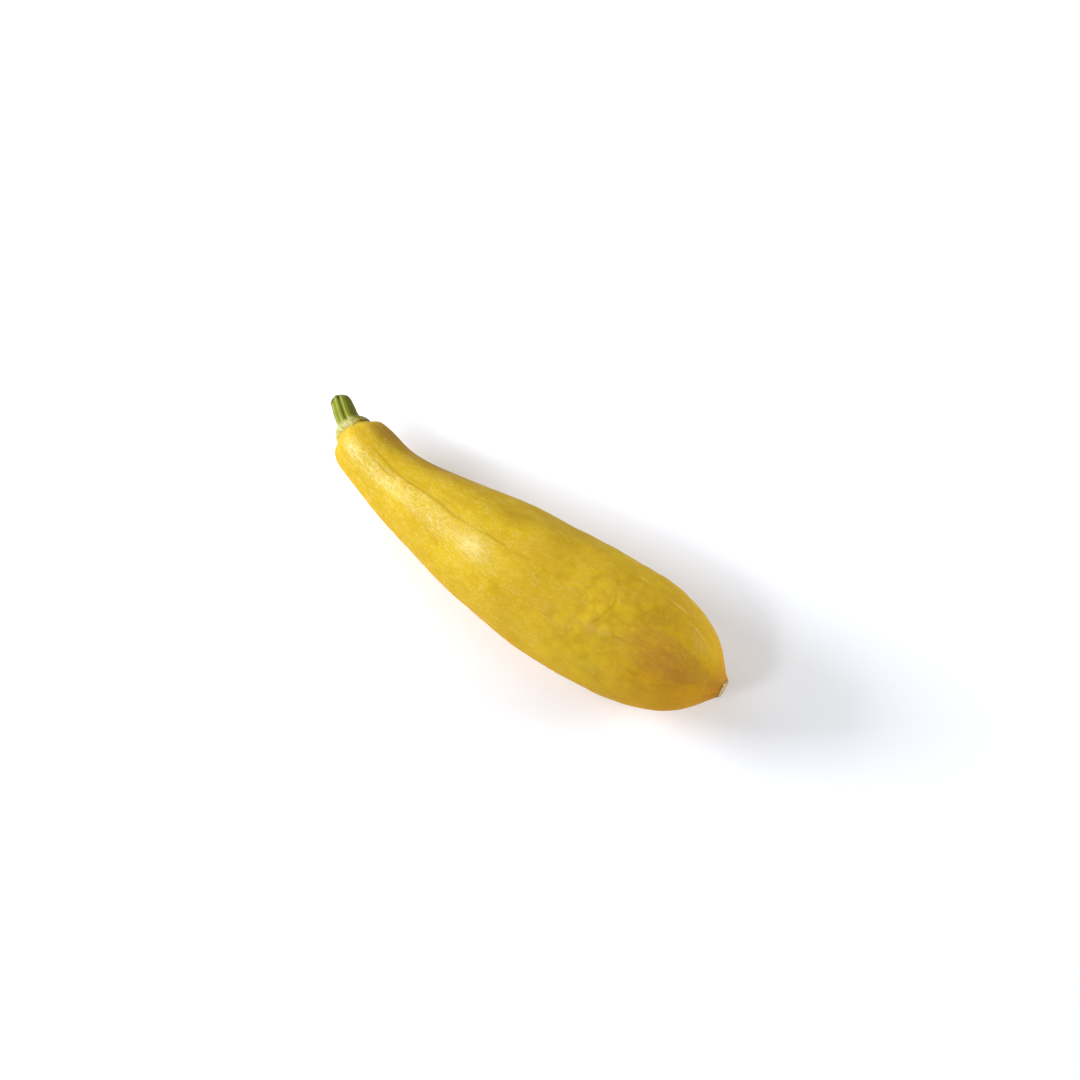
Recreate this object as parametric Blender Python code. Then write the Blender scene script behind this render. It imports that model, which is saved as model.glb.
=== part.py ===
"""A yellow straightneck squash, picked, lying on its side.

Two grown pieces: the fruit, which carries its corky blossom scar, and the cut stem with the lobed
collar at its foot. Metres, +Z up. +X runs from the stem towards the blossom scar, the bow of the
neck opens towards +Y, and the flat spot under the belly rests on z = 0.
"""

import math

import bmesh
import bpy
import numpy as np

MM = 0.001

# Fruit: distance along the centre line from the stem's seat, and radius there, in millimetres.
FRUIT_OUTLINE_MM = (
    (0.0, 7.6),
    (1.5, 8.7),
    (4.5, 12.0),
    (10.0, 13.8),
    (20.0, 14.0),
    (33.0, 15.2),
    (50.0, 18.5),
    (75.0, 23.4),
    (103.0, 27.4),
    (132.0, 28.7),
    (156.0, 28.0),
    (174.0, 24.2),
    (187.0, 17.3),
    (195.0, 9.2),
    (199.0, 4.85),
    (200.0, 4.05),
)
FRUIT_LENGTH = FRUIT_OUTLINE_MM[-1][0] * MM
FRUIT_SIDES = 48
FRUIT_RINGS = 82
SCAR_DISH = 0.4 * MM

# Centre line of the fruit: the belly runs along +X and the neck curls towards +Y.
BELLY_YAW = math.radians(5.3)
NECK_CURL = math.radians(27.0)
BELLY_LEAN = math.radians(4.2)
CURL_FADE = 39.5 * MM
WANDER = 0.4 * MM
WANDER_LENGTH = 104.0 * MM
WANDER_PHASE = math.radians(196.0)
WANDER_SPAN = (12.0 * MM, 32.0 * MM, 188.0 * MM, 200.0 * MM)

# Relief of the skin. A span gives where it starts, is full, begins to fade and has gone.
RIB_COUNT = 5
RIB_ANGLE = math.radians(70.0)
RIB_HEIGHT = 0.35 * MM
RIB_SPAN = (120.0 * MM, 180.0 * MM, 188.0 * MM, 199.0 * MM)
FOLD_COUNT = 10
FOLD_ANGLE = math.radians(-5.0)
FOLD_DEPTH = 0.45 * MM
FOLD_SPAN = (0.5 * MM, 3.0 * MM, 4.0 * MM, 22.0 * MM)
LUMP_SEED = 11
LUMP_COUNT = 9
LUMP_HEIGHT = 0.10 * MM
LUMP_LENGTHS = (34.0 * MM, 95.0 * MM)
LUMP_SPAN = (2.0 * MM, 16.0 * MM, 178.0 * MM, 196.0 * MM)
CREASE_ANGLE = math.radians(92.0)
CREASE_DEPTH = 0.35 * MM
CREASE_WIDTH = 1.6 * MM
CREASE_SPAN = (26.0 * MM, 38.0 * MM, 58.0 * MM, 84.0 * MM)

# Stem: distance along its own centre line from the foot, and radius there, in millimetres.
STEM_OUTLINE_MM = (
    (0.0, 7.6),
    (0.5, 7.95),
    (2.2, 7.6),
    (3.7, 6.8),
    (4.7, 5.7),
    (6.2, 5.15),
    (10.0, 4.95),
    (14.0, 4.6),
    (16.6, 4.25),
    (17.2, 3.8),
)
STEM_LENGTH = STEM_OUTLINE_MM[-1][0] * MM
STEM_SIDES = 40
STEM_RINGS = 26
STEM_TURN = math.radians(-12.0)
STEM_TURN_REACH = 4.0 * MM
STEM_RIBS = 5
STEM_GROOVE = 0.17
STEM_RIB_ANGLE = math.radians(44.0)
STEM_TWIST = math.radians(14.0)
COLLAR_HEIGHT = 5.0 * MM
COLLAR_NOTCH = 0.10
CUT_DISH = 0.5 * MM

# Fit of the pieces, and fineness of their meshes.
SEAT_GAP = 0.3 * MM
BELLY_FLAT = 0.5 * MM
FACE_SHARES = (0.8, 0.4)
LINE_STEPS = 600


def smooth_curve(points, count):
    """Evenly spread points on the natural cubic spline through the given points."""
    points = np.array(points, dtype=float)
    run = np.concatenate([[0.0], np.cumsum(np.linalg.norm(np.diff(points, axis=0), axis=1))])
    step = np.diff(run)
    size = len(points)
    matrix = np.eye(size)
    target = np.zeros(points.shape)
    for i in range(1, size - 1):
        matrix[i, i - 1] = step[i - 1]
        matrix[i, i] = 2.0 * (step[i - 1] + step[i])
        matrix[i, i + 1] = step[i]
        after = (points[i + 1] - points[i]) / step[i]
        before = (points[i] - points[i - 1]) / step[i - 1]
        target[i] = 6.0 * (after - before)
    bend = np.linalg.solve(matrix, target)
    at = np.linspace(0.0, run[-1], count)
    k = np.clip(np.searchsorted(run, at) - 1, 0, size - 2)
    b = ((at - run[k]) / step[k])[:, None]
    a = 1.0 - b
    arc = (step[k] ** 2)[:, None] / 6.0
    return a * points[k] + b * points[k + 1] + arc * ((a**3 - a) * bend[k] + (b**3 - b) * bend[k + 1])


def smooth_step(low, high, value):
    """0 below low, 1 above high, with a smooth rise between."""
    t = np.clip((value - low) / (high - low), 0.0, 1.0)
    return t * t * (3.0 - 2.0 * t)


def over_span(span, value):
    """Rises from 0 to 1 over the span's first pair of places, and falls back over its second."""
    return smooth_step(span[0], span[1], value) * (1.0 - smooth_step(span[2], span[3], value))


def centre_line(yaw, climb, length, at):
    """Frames (place, forward, side, up) at the distances at, for a line that starts at the origin.

    yaw and climb give the line's heading and slope as functions of the distance along it.
    """
    run = np.linspace(0.0, length, LINE_STEPS)
    level = np.cos(climb(run))
    forward = np.stack([np.cos(yaw(run)) * level, np.sin(yaw(run)) * level, np.sin(climb(run))], axis=1)
    legs = (forward[1:] + forward[:-1]) * 0.5 * np.diff(run)[:, None]
    place = np.concatenate([np.zeros((1, 3)), np.cumsum(legs, axis=0)])
    place = np.stack([np.interp(at, run, place[:, i]) for i in range(3)], axis=1)
    forward = np.stack([np.interp(at, run, forward[:, i]) for i in range(3)], axis=1)
    forward /= np.linalg.norm(forward, axis=1)[:, None]
    side = np.cross([0.0, 0.0, 1.0], forward)
    side /= np.linalg.norm(side, axis=1)[:, None]
    up = np.cross(forward, side)
    return place, forward, side, up


def fruit_yaw(along):
    return BELLY_YAW - NECK_CURL * np.exp(-along / CURL_FADE)


def fruit_climb(along):
    return BELLY_LEAN * (1.0 - np.exp(-along / CURL_FADE))


def fruit_frames(along):
    """The fruit's centre line, with the slight sideways wander that it grew with."""
    place, forward, side, up = centre_line(fruit_yaw, fruit_climb, FRUIT_LENGTH, along)
    sway = WANDER * np.sin(2.0 * math.pi * along / WANDER_LENGTH + WANDER_PHASE)
    sway = sway * over_span(WANDER_SPAN, along)
    return place + sway[:, None] * side, forward, side, up


def lumps(along, angle):
    """Broad, low unevenness of the skin, as a sum of slow waves."""
    draw = np.random.default_rng(LUMP_SEED)
    height = np.zeros(np.broadcast(along, angle).shape)
    for _ in range(LUMP_COUNT):
        wave_length = draw.uniform(*LUMP_LENGTHS)
        around = draw.integers(1, 6)
        phase = draw.uniform(0.0, 2.0 * math.pi)
        lean = draw.choice([-1.0, 1.0])
        height = height + np.sin(2.0 * math.pi * along / wave_length + lean * around * angle + phase)
    return LUMP_HEIGHT * height


def fruit_relief(along, angle, radius):
    """How far the skin stands out from its round section."""
    ribs = RIB_HEIGHT * np.cos(RIB_COUNT * (angle - RIB_ANGLE)) * over_span(RIB_SPAN, along)
    fold = np.abs(np.cos(0.5 * FOLD_COUNT * (angle - FOLD_ANGLE))) - 1.0
    folds = FOLD_DEPTH * fold * over_span(FOLD_SPAN, along)
    across = (angle - CREASE_ANGLE) * radius / CREASE_WIDTH
    crease = -CREASE_DEPTH * np.exp(-(across**2)) * over_span(CREASE_SPAN, along)
    upper = 0.5 + 0.5 * np.sin(angle)
    return ribs + folds + crease + upper * over_span(LUMP_SPAN, along) * lumps(along, angle)


def fruit_rings():
    """Rings of skin points from the seat to the blossom scar, and the dished face of the scar."""
    outline = smooth_curve(FRUIT_OUTLINE_MM, FRUIT_RINGS) * MM
    rim_along, rim_radius = outline[-1]
    face = [(rim_along - SCAR_DISH * (1.0 - share**2), rim_radius * share) for share in FACE_SHARES]
    outline = np.concatenate([outline, face])
    along, radius = outline[:, :1], outline[:, 1:]
    angle = np.linspace(0.0, 2.0 * math.pi, FRUIT_SIDES, endpoint=False)[None, :]
    relief = fruit_relief(along, angle, radius)
    relief[-len(face):] = 0.0
    place, _, side, up = fruit_frames(along[:, 0])
    reach = (radius + relief)[:, :, None]
    around = np.cos(angle)[:, :, None] * side[:, None, :] + np.sin(angle)[:, :, None] * up[:, None, :]
    rings = place[:, None, :] + reach * around
    scar_centre, _, _, _ = fruit_frames(np.array([rim_along - SCAR_DISH]))
    return rings, place[0], scar_centre[0]


def stem_section(along, angle):
    """Share of the round radius that the ribbed stem and its lobed collar keep."""
    turn = STEM_TWIST * along / STEM_LENGTH
    rib = np.abs(np.cos(0.5 * STEM_RIBS * (angle - STEM_RIB_ANGLE - turn))) ** 0.8
    collar = 1.0 - smooth_step(0.6 * COLLAR_HEIGHT, 1.2 * COLLAR_HEIGHT, along)
    depth = STEM_GROOVE * (1.0 - collar) + COLLAR_NOTCH * collar
    return 1.0 - depth * (1.0 - rib)


def stem_rings():
    """Rings of the stem from its foot, a gap above the seat, to the cut end."""
    seat, forward, _, _ = fruit_frames(np.zeros(1))
    start = seat - SEAT_GAP * forward
    back = math.atan2(-forward[0][1], -forward[0][0])

    def yaw(along):
        return back + STEM_TURN * (1.0 - np.exp(-along / STEM_TURN_REACH))

    def climb(along):
        return np.full(along.shape, -math.asin(forward[0][2]))

    outline = smooth_curve(STEM_OUTLINE_MM, STEM_RINGS) * MM
    rim_along, rim_radius = outline[-1]
    face = [(rim_along - CUT_DISH * (1.0 - share**2), rim_radius * share) for share in FACE_SHARES]
    outline = np.concatenate([outline, face])
    along, radius = outline[:, :1], outline[:, 1:]
    angle = np.linspace(0.0, 2.0 * math.pi, STEM_SIDES, endpoint=False)[None, :]
    reach = (radius * stem_section(along, angle))[:, :, None]
    place, _, side, up = centre_line(yaw, climb, STEM_LENGTH, along[:, 0])
    around = np.cos(angle)[:, :, None] * side[:, None, :] + np.sin(angle)[:, :, None] * up[:, None, :]
    rings = start[0] + place[:, None, :] + reach * around
    cut_centre, _, _, _ = centre_line(yaw, climb, STEM_LENGTH, np.array([rim_along - CUT_DISH]))
    return rings, start[0], start[0] + cut_centre[0]


def skin_rings(rings, first_pole, last_pole):
    """A closed bmesh over rings of points, closed to a point at both ends."""
    mesh = bmesh.new()
    loops = [[mesh.verts.new(point) for point in ring] for ring in rings]
    first = mesh.verts.new(first_pole)
    last = mesh.verts.new(last_pole)
    sides = len(loops[0])
    for i in range(sides):
        j = (i + 1) % sides
        mesh.faces.new((first, loops[0][j], loops[0][i]))
        mesh.faces.new((last, loops[-1][i], loops[-1][j]))
        for near, far in zip(loops[:-1], loops[1:]):
            mesh.faces.new((near[i], near[j], far[j], far[i]))
    bmesh.ops.recalc_face_normals(mesh, faces=mesh.faces)
    return mesh


def flatten_belly(mesh):
    """Cuts the small flat spot that the fruit rests on, and returns its height."""
    floor = min(vertex.co.z for vertex in mesh.verts) + BELLY_FLAT
    everything = list(mesh.verts) + list(mesh.edges) + list(mesh.faces)
    cut = bmesh.ops.bisect_plane(
        mesh,
        geom=everything,
        plane_co=(0.0, 0.0, floor),
        plane_no=(0.0, 0.0, -1.0),
        clear_outer=True,
    )
    rim = [item for item in cut["geom_cut"] if isinstance(item, bmesh.types.BMEdge)]
    bmesh.ops.contextual_create(mesh, geom=rim)
    bmesh.ops.recalc_face_normals(mesh, faces=mesh.faces)
    return floor


def plain_material(name, colour, roughness):
    material = bpy.data.materials.new(name)
    material.use_nodes = True
    shader = material.node_tree.nodes["Principled BSDF"]
    shader.inputs["Base Color"].default_value = (*colour, 1.0)
    shader.inputs["Roughness"].default_value = roughness
    shader.inputs["Metallic"].default_value = 0.0
    return material


def make_piece(name, mesh, material, parent):
    data = bpy.data.meshes.new(name)
    mesh.to_mesh(data)
    mesh.free()
    data.materials.append(material)
    data.shade_smooth()
    data.set_sharp_from_angle(angle=math.radians(40.0))
    piece = bpy.data.objects.new(name, data)
    bpy.context.scene.collection.objects.link(piece)
    piece.parent = parent
    return piece


def centre_over_floor(pieces, parent, floor):
    """Moves the squash so that its box is centred on the origin and its flat spot is at z = 0."""
    points = [vertex.co for piece in pieces for vertex in piece.data.vertices]
    middle_x = 0.5 * (min(point.x for point in points) + max(point.x for point in points))
    middle_y = 0.5 * (min(point.y for point in points) + max(point.y for point in points))
    parent.location = (-middle_x, -middle_y, -floor)


def build_squash():
    for old in list(bpy.data.objects):
        bpy.data.objects.remove(old, do_unlink=True)
    squash = bpy.data.objects.new("squash", None)
    bpy.context.scene.collection.objects.link(squash)
    fruit_mesh = skin_rings(*fruit_rings())
    floor = flatten_belly(fruit_mesh)
    fruit_skin = plain_material("fruit_skin", (0.69, 0.43, 0.03), 0.4)
    stem_skin = plain_material("stem_skin", (0.27, 0.30, 0.05), 0.5)
    fruit = make_piece("fruit", fruit_mesh, fruit_skin, squash)
    stem = make_piece("stem", skin_rings(*stem_rings()), stem_skin, squash)
    centre_over_floor((fruit, stem), squash, floor)
    return fruit, stem


build_squash()
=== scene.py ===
"""Looks of a yellow straightneck squash that lies on a white surface.

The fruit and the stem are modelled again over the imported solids, on the same centre lines and
outlines, with the finer relief of the skin, and are dressed in procedural skins.
"""

import math

import bpy
import numpy as np
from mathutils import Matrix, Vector, noise


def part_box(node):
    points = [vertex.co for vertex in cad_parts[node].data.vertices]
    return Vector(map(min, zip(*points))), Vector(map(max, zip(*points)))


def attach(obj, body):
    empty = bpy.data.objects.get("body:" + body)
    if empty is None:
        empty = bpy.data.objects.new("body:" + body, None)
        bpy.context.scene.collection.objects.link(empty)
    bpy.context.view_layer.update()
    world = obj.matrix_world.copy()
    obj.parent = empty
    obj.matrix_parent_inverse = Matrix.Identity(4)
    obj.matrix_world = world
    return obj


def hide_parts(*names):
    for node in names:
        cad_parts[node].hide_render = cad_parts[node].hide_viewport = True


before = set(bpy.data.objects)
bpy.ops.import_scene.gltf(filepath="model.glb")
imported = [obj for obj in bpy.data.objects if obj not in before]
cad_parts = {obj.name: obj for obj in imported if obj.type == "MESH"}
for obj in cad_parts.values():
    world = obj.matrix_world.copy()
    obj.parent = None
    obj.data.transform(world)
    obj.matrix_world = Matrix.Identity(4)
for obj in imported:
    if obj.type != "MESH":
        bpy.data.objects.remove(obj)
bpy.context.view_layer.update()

MM = 0.001

# Fruit: distance along the centre line from the stem's seat, and radius there, in millimetres.
FRUIT_OUTLINE_MM = (
    (0.0, 7.6),
    (1.5, 8.7),
    (4.5, 12.0),
    (10.0, 13.8),
    (20.0, 14.0),
    (33.0, 15.2),
    (50.0, 18.5),
    (75.0, 23.4),
    (103.0, 27.4),
    (132.0, 28.7),
    (156.0, 28.0),
    (174.0, 24.2),
    (187.0, 17.3),
    (195.0, 9.2),
    (199.0, 4.85),
    (200.0, 4.05),
)
FRUIT_LENGTH = FRUIT_OUTLINE_MM[-1][0] * MM

# Points around the fruit, closer together towards its top.
FRUIT_SIDES = 240
FRUIT_TOP = math.radians(98.0)
TOP_CROWDING = 0.5

# Rings of points along the fruit: from and to these shares of its outline, and how many.
FRUIT_RINGS = ((0.0, 0.05, 34), (0.05, 0.95, 292), (0.95, 1.0, 50))

# Centre line of the fruit: the belly runs along +X and the neck curls towards +Y.
BELLY_YAW = math.radians(5.3)
NECK_CURL = math.radians(27.0)
BELLY_LEAN = math.radians(4.2)
CURL_FADE = 39.5 * MM
WANDER = 0.4 * MM
WANDER_LENGTH = 104.0 * MM
WANDER_PHASE = math.radians(196.0)
WANDER_SPAN = (12.0 * MM, 32.0 * MM, 188.0 * MM, 200.0 * MM)

# Steps in which the run of a centre line is summed up.
LINE_STEPS = 600

# Relief of the skin. A span gives where it starts, is full, begins to fade and has gone.
RIB_COUNT = 5
RIB_ANGLE = math.radians(64.0)
RIB_HEIGHT = 0.40 * MM
RIB_SPAN = (132.0 * MM, 180.0 * MM, 188.0 * MM, 199.0 * MM)
FOLD_COUNT = 10
FOLD_ANGLE = math.radians(-5.0)
FOLD_DEPTH = 0.45 * MM
FOLD_SPAN = (0.5 * MM, 3.0 * MM, 4.0 * MM, 22.0 * MM)
LUMP_SEED = 11
LUMP_COUNT = 9
LUMP_HEIGHT = 0.10 * MM
LUMP_LENGTHS = (34.0 * MM, 95.0 * MM)
LUMP_WAVES = (1, 6)
LUMP_SPAN = (2.0 * MM, 16.0 * MM, 178.0 * MM, 196.0 * MM)

# Grain of the skin: height, what is added where it is rough, and the noise's cells.
ROUGH_SPAN = (100.0 * MM, 135.0 * MM, 170.0 * MM, 188.0 * MM)
SKIN_GRAINS = (
    (0.24 * MM, 0.20 * MM, (19.0, 13.0, 5)),
    (0.10 * MM, 0.46 * MM, (7.8, 6.6, 8)),
    (0.04 * MM, 0.07 * MM, (3.8, 3.0, 13)),
)

# Furrows in the skin: the path as pairs of distance and angle, then depth and width in millimetres.
FURROWS = (
    (((16, 88), (26, 90), (31, 91.4), (40, 93), (49, 91.7), (59, 92.6)), 0.18, 0.85),
    (((44, 92.5), (52, 92), (59, 92.6), (69, 97.3), (77, 96.7), (86, 94.8)), 0.19, 0.85),
    (((72, 97), (82, 96.8), (86, 94.8), (93, 95.1), (97, 96.2), (122, 95)), 0.14, 0.75),
    (((20, 103), (26, 102), (31, 101.8), (38, 100)), 0.15, 0.55),
    (((30, 87), (44, 86), (56, 86), (70, 88)), 0.10, 0.6),
    (((24, 96), (36, 98), (50, 99), (58, 101)), 0.09, 0.5),
    (((34, 98), (50, 98), (70, 102.5), (84, 102)), -0.10, 1.3),
    (((12, 112), (24, 110), (36, 111), (60, 112)), 0.05, 1.4),
    (((30, 76), (48, 78), (70, 77), (96, 76)), 0.05, 1.6),
    (((158, 135), (168, 136.5), (177, 138), (190, 139)), 0.08, 1.2),
    (((155, 115.5), (158, 114.7), (162, 115.2)), 0.16, 0.35),
    (((40, 150), (70, 152), (100, 155), (135, 156)), 0.04, 2.2),
    (((60, 30), (90, 34), (110, 33), (145, 30)), 0.07, 2.4),
    (((30, 210), (60, 214), (110, 216), (150, 213)), 0.07, 2.6),
    (((30, 300), (70, 296), (110, 294), (150, 297)), 0.08, 2.6),
    (((20, 340), (50, 336), (90, 334), (130, 331)), 0.07, 2.6),
)
FURROW_SWAY = 0.40 * MM
FURROW_SWAY_CELLS = (9.5, 20.0, 3)
FURROW_TAPER = 0.6
FURROW_STRENGTH = (0.95, 1.0, 0.4, 1.25)
FURROW_STRENGTH_CELLS = (9.0, 20.0, 6)

# The dent across the belly.
DENT_ANGLE = math.radians(93.0)
DENT_PLACE = 147.8 * MM
DENT_BOW = 4.0 * MM
DENT_DEPTH = 0.26 * MM
DENT_WIDTH = 0.85 * MM
DENT_REACH = math.radians(23.5)
DENT_RIDGE_AWAY = 3.0 * MM
DENT_RIDGE_SHARE = 0.5
DENT_RIDGE_WIDTH = 2.0 * DENT_WIDTH
DENT_SWAY = 1.3 * MM
DENT_SWAY_CELLS = (1000.0, 4.5, 4)
DENT_STRENGTH = (0.80, 0.9, 0.35, 1.2)
DENT_STRENGTH_CELLS = (1000.0, 5.5, 9)

# Depth of skin that takes the furrows' full painted shade, and how much of it the dent and folds take.
FULL_HOLLOW = 0.19 * MM
DENT_TONE = 0.9
FOLD_TONE = 0.35

# Blossom scar: a dished face of cork with a wavy rim.
SCAR_RINGS = 16
SCAR_DISH = 0.45 * MM
SCAR_DISH_POWER = 4
SCAR_RIM_REACH = 3.0 * MM
SCAR_WAVES = 5
SCAR_WAVE_SHARE = 0.05
SCAR_WAVE_ANGLE = 0.4
SCAR_UNEVEN_SHARE = 0.10
SCAR_UNEVEN_CELLS = (50.0, 3.0, 21)
CORK_HEIGHT = 0.25 * MM
CORK_CELLS = (50.0, 1.1, 31)

# Orange flanks and bulb end; the orange of the flanks is partly painted shade. Turns are measured from the
# top line.
TOP_LINE = math.radians(93.0)
UNDER_TURN = (math.radians(62.0), math.radians(126.0))
UNDER_WARMTH = 0.7
END_SPAN = (150.0 * MM, 190.0 * MM)
END_TURN = (math.radians(18.0), math.radians(52.0))
END_WARMTH = 0.28
END_SIDE_WARMTH = 0.66

# Painted brown shade beside the folds, beside the neck and along the flank.
FOLD_SHADE = 0.66
FOLD_SHADE_PLACE = 14.0 * MM
FOLD_SHADE_LENGTH = 12.5 * MM
FOLD_SHADE_TURN = (math.radians(4.0), math.radians(44.0))
NECK_SHADE = 0.64
NECK_SHADE_SPAN = (3.0 * MM, 12.0 * MM, 34.0 * MM, 80.0 * MM)
NECK_SHADE_TURN = (math.radians(22.0), math.radians(68.0))
SIDE_SHADE = 0.20
SIDE_SHADE_SPAN = (16.0 * MM, 36.0 * MM, 108.0 * MM, 140.0 * MM)
SIDE_SHADE_TURN = (math.radians(14.0), math.radians(46.0))

# Olive wedge at the bulb's end, behind an edge given as pairs of distance and angle.
WEDGE_EDGE = ((150, 98), (158, 96), (166, 91.4), (172, 87), (179, 87.3), (190, 90.7), (198, 93.7))
WEDGE_SPAN = (149.0 * MM, 174.0 * MM, 184.0 * MM, 203.0 * MM)
WEDGE_RISE = (math.radians(-2.5), math.radians(3.0))
WEDGE_FADE = (math.radians(10.0), math.radians(50.0))

# Russet patch: its place and reach, along and around.
RUSSET_PLACE = (182.0 * MM, math.radians(27.0))
RUSSET_REACH = (14.0 * MM, math.radians(19.0))

# The top of the fruit, where its skin is cobbled.
TOP_TURN = math.radians(10.0)
TOP_WIDTH = math.radians(36.0)

# Band along the neck where a sheen is painted into the colour and the coat is a little glossier: distance,
# turn from the top line, and width in degrees.
SHEEN_PATH = ((8, 24, 16), (27, 22, 18), (41, 14.5, 15.5), (54, 12.5, 13), (72, 17, 16), (96, 17, 16))
SHEEN_SPAN = (3.0 * MM, 14.0 * MM, 40.0 * MM, 96.0 * MM)

# Soft spots, pale ones of painted highlight and dark ones of painted shade: distance, angle, and reach in
# millimetres along and degrees around.
GLEAMS = (
    (9.0, 120.0, 5.5, 8.0),
    (84.0, 114.0, 8.5, 12.0),
    (83.0, 112.0, 5.5, 8.0),
    (183.0, 63.5, 6.0, 1.3),
    (170.0, 56.0, 5.0, 1.0),
    (152.0, 51.0, 3.0, 0.8),
)
# Spots of painted shade, added to the painted brown shade.
DUSKS = (
    (168.0, 76.0, 9.0, 12.0),
    (163.0, 85.0, 6.0, 8.0),
    (88.0, 60.0, 10.0, 12.0),
    (91.0, 62.0, 8.0, 10.0),
    (106.0, 136.0, 8.0, 11.0),
)
DUSK_SHADE = 0.20

# Stem: distance along its own centre line above the collar's foot, and radius, in millimetres.
STEM_OUTLINE_MM = (
    (2.2, 7.6),
    (3.7, 6.8),
    (4.7, 5.7),
    (6.2, 5.15),
    (10.0, 4.95),
    (14.0, 4.6),
    (16.6, 4.25),
    (17.2, 3.8),
)
STEM_LENGTH = STEM_OUTLINE_MM[-1][0] * MM
STEM_TURN = math.radians(-12.0)
STEM_TURN_REACH = 4.0 * MM
SEAT_GAP = 0.3 * MM
STEM_SIDES = 260
STEM_RINGS = 200
FOOT_RINGS = 40

# Foot of the collar, which grips the fruit's shoulder: distance along the stem and radius.
COLLAR_FOOT_MM = (
    (-2.0, 7.3),
    (-1.2, 8.0),
    (-0.5, 8.12),
    (0.2, 8.05),
    (0.9, 7.95),
    (2.2, 7.6),
)

# Grooves between the stem's ribs: angle, share of the radius that they take, and width in degrees.
STEM_GROOVES = (
    (46.0, 0.055, 7.0),
    (80.0, 0.13, 8.5),
    (134.0, 0.13, 21.0),
    (184.0, 0.13, 7.0),
    (212.0, 0.07, 7.0),
    (247.0, 0.14, 8.0),
    (280.0, 0.07, 8.0),
    (318.0, 0.14, 8.0),
)
FULL_GROOVE = 0.13
STEM_CRESTS = (28.0, 60.0, 93.0, 166.0, 198.0, 229.0, 263.0, 298.0, 338.0)
STEM_CREST_SHARE = 0.025
STEM_CREST_WIDTH = 3.2
STEM_TWIST = math.radians(2.0)

# Collar: its height, how far it hides the grooves, and its lobes, dip, drape and hem.
COLLAR_HEIGHT = 5.0 * MM
COLLAR_HIDES = 0.75
COLLAR_HIDES_UP_TO = (0.5 * COLLAR_HEIGHT, 1.3 * COLLAR_HEIGHT)
COLLAR_ROUGH_UP_TO = (0.45 * COLLAR_HEIGHT, COLLAR_HEIGHT)
COLLAR_LOBE = 0.17 * MM
COLLAR_LOBES = 10
COLLAR_LOBE_ANGLE = 0.35
COLLAR_LOBE_UNEVEN = 1.4
COLLAR_LOBE_CELLS = (20.0, 3.5, 51)
COLLAR_DIP = 1.5 * MM
COLLAR_DIP_ANGLE = math.radians(-7.0)
COLLAR_DIP_POWER = 1.5
COLLAR_DIP_SPAN = (0.3 * MM, 2.6 * MM, 5.0 * MM, 9.0 * MM)
COLLAR_DRAPE = 0.32 * MM
COLLAR_DRAPE_TURN = (140.0, 50.0)
COLLAR_DRAPE_REACH = 2.0 * MM
COLLAR_HEM = 0.20 * MM
COLLAR_HEM_REACH = 2.5 * MM

# Grain of the stem: height and the noise's cells.
FIBRES = (0.05 * MM, (12.0, 0.8, 41))
KNOTS = (0.16 * MM, (6.0, 2.4, 43))
WARTS = (0.22 * MM, (1.6, 1.6, 45))

# Cut end: its dish, its slant and frayed edge, and the part of its edge that is worn round.
CUT_RINGS = 18
CUT_DISH = 0.5 * MM
CUT_DISH_POWER = 2
CUT_REACH = 2.5 * MM
CUT_BACK = 0.5 * MM
CUT_SLANT = 0.25 * MM
CUT_SLANT_ANGLE = 2.6
CUT_FRAY = 0.5 * MM
CUT_FRAY_CELLS = (500.0, 2.0, 47)
WORN_TURN = (150.0, 45.0)
WORN_REACH = 4.5 * MM
WORN_BACK = 0.45 * MM
WORN_DEPTH = 0.8 * MM

# Painted shade on the stem's dark side and on the collar there, and charred stretches of its cut edge:
# strength, angle and width.
STEM_SHADE_SIDE = math.radians(158.0)
STEM_SHADE_RISE = (0.60, 0.84)
COLLAR_SHADE_RISE = (0.42, 0.80)
STEM_CHARS = ((1.3, 30.0, 20.0), (1.2, 80.0, 9.0))

# How far the belly is pressed into the surface, and how softly it leaves it.
BELLY_FLAT = 0.5 * MM
BELLY_EASE = 0.25 * MM

# Places along the fruit, in millimetres, where a change of its colour begins and is full.
SEAT_HALO_AT = (0.2, 4.0)
SHOULDER_FADES = (9.0, 34.0)
FLECKS_FADE = (55.0, 185.0)
BELLY_DEEPENS = (85.0, 120.0)
COBBLES_RISE = (105.0, 142.0)
COBBLES_FADE = (162.0, 182.0)
BULB_END_AT = (150.0, 176.0)
TIP_AT = (191.5, 199.0)
SCAR_RIM_AT = (199.3, 200.0)

# Places along the stem, in millimetres, where a change of its colour begins and is full.
HEM_FADES = (-0.9, 1.2)
COLLAR_FADES = (1.8, 5.0)
CRESTS_FADE = (4.0, 11.0)
CHARRED_AT = (16.0, 16.9)

# Colours of the fruit, in linear light.
GOLD = (0.575, 0.385, 0.010)
DEEP_GOLD = (0.490, 0.300, 0.014)
GREEN_GOLD = (0.495, 0.340, 0.012)
LIGHT_GOLD = (0.620, 0.420, 0.022)
SHOULDER_DEEP = (0.540, 0.320, 0.010)
SHOULDER_LIGHT = (0.720, 0.540, 0.070)
COBBLE_GAP_SHADE = (0.395, 0.240, 0.014)
COBBLE_TOP_LIGHT = (0.630, 0.440, 0.018)
ORANGE = (0.720, 0.345, 0.012)
PAINTED_SHADE_BROWN = (0.235, 0.108, 0.008)
OLIVE = (0.455, 0.225, 0.028)
RUSSET = (0.450, 0.185, 0.030)
END_THREAD = (0.390, 0.205, 0.010)
END_LIGHT = (0.640, 0.385, 0.022)
END_DARK = (0.360, 0.190, 0.010)
TIP_RUSSET = (0.460, 0.172, 0.024)
PAINTED_SHEEN_GOLD = (0.720, 0.550, 0.052)
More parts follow.
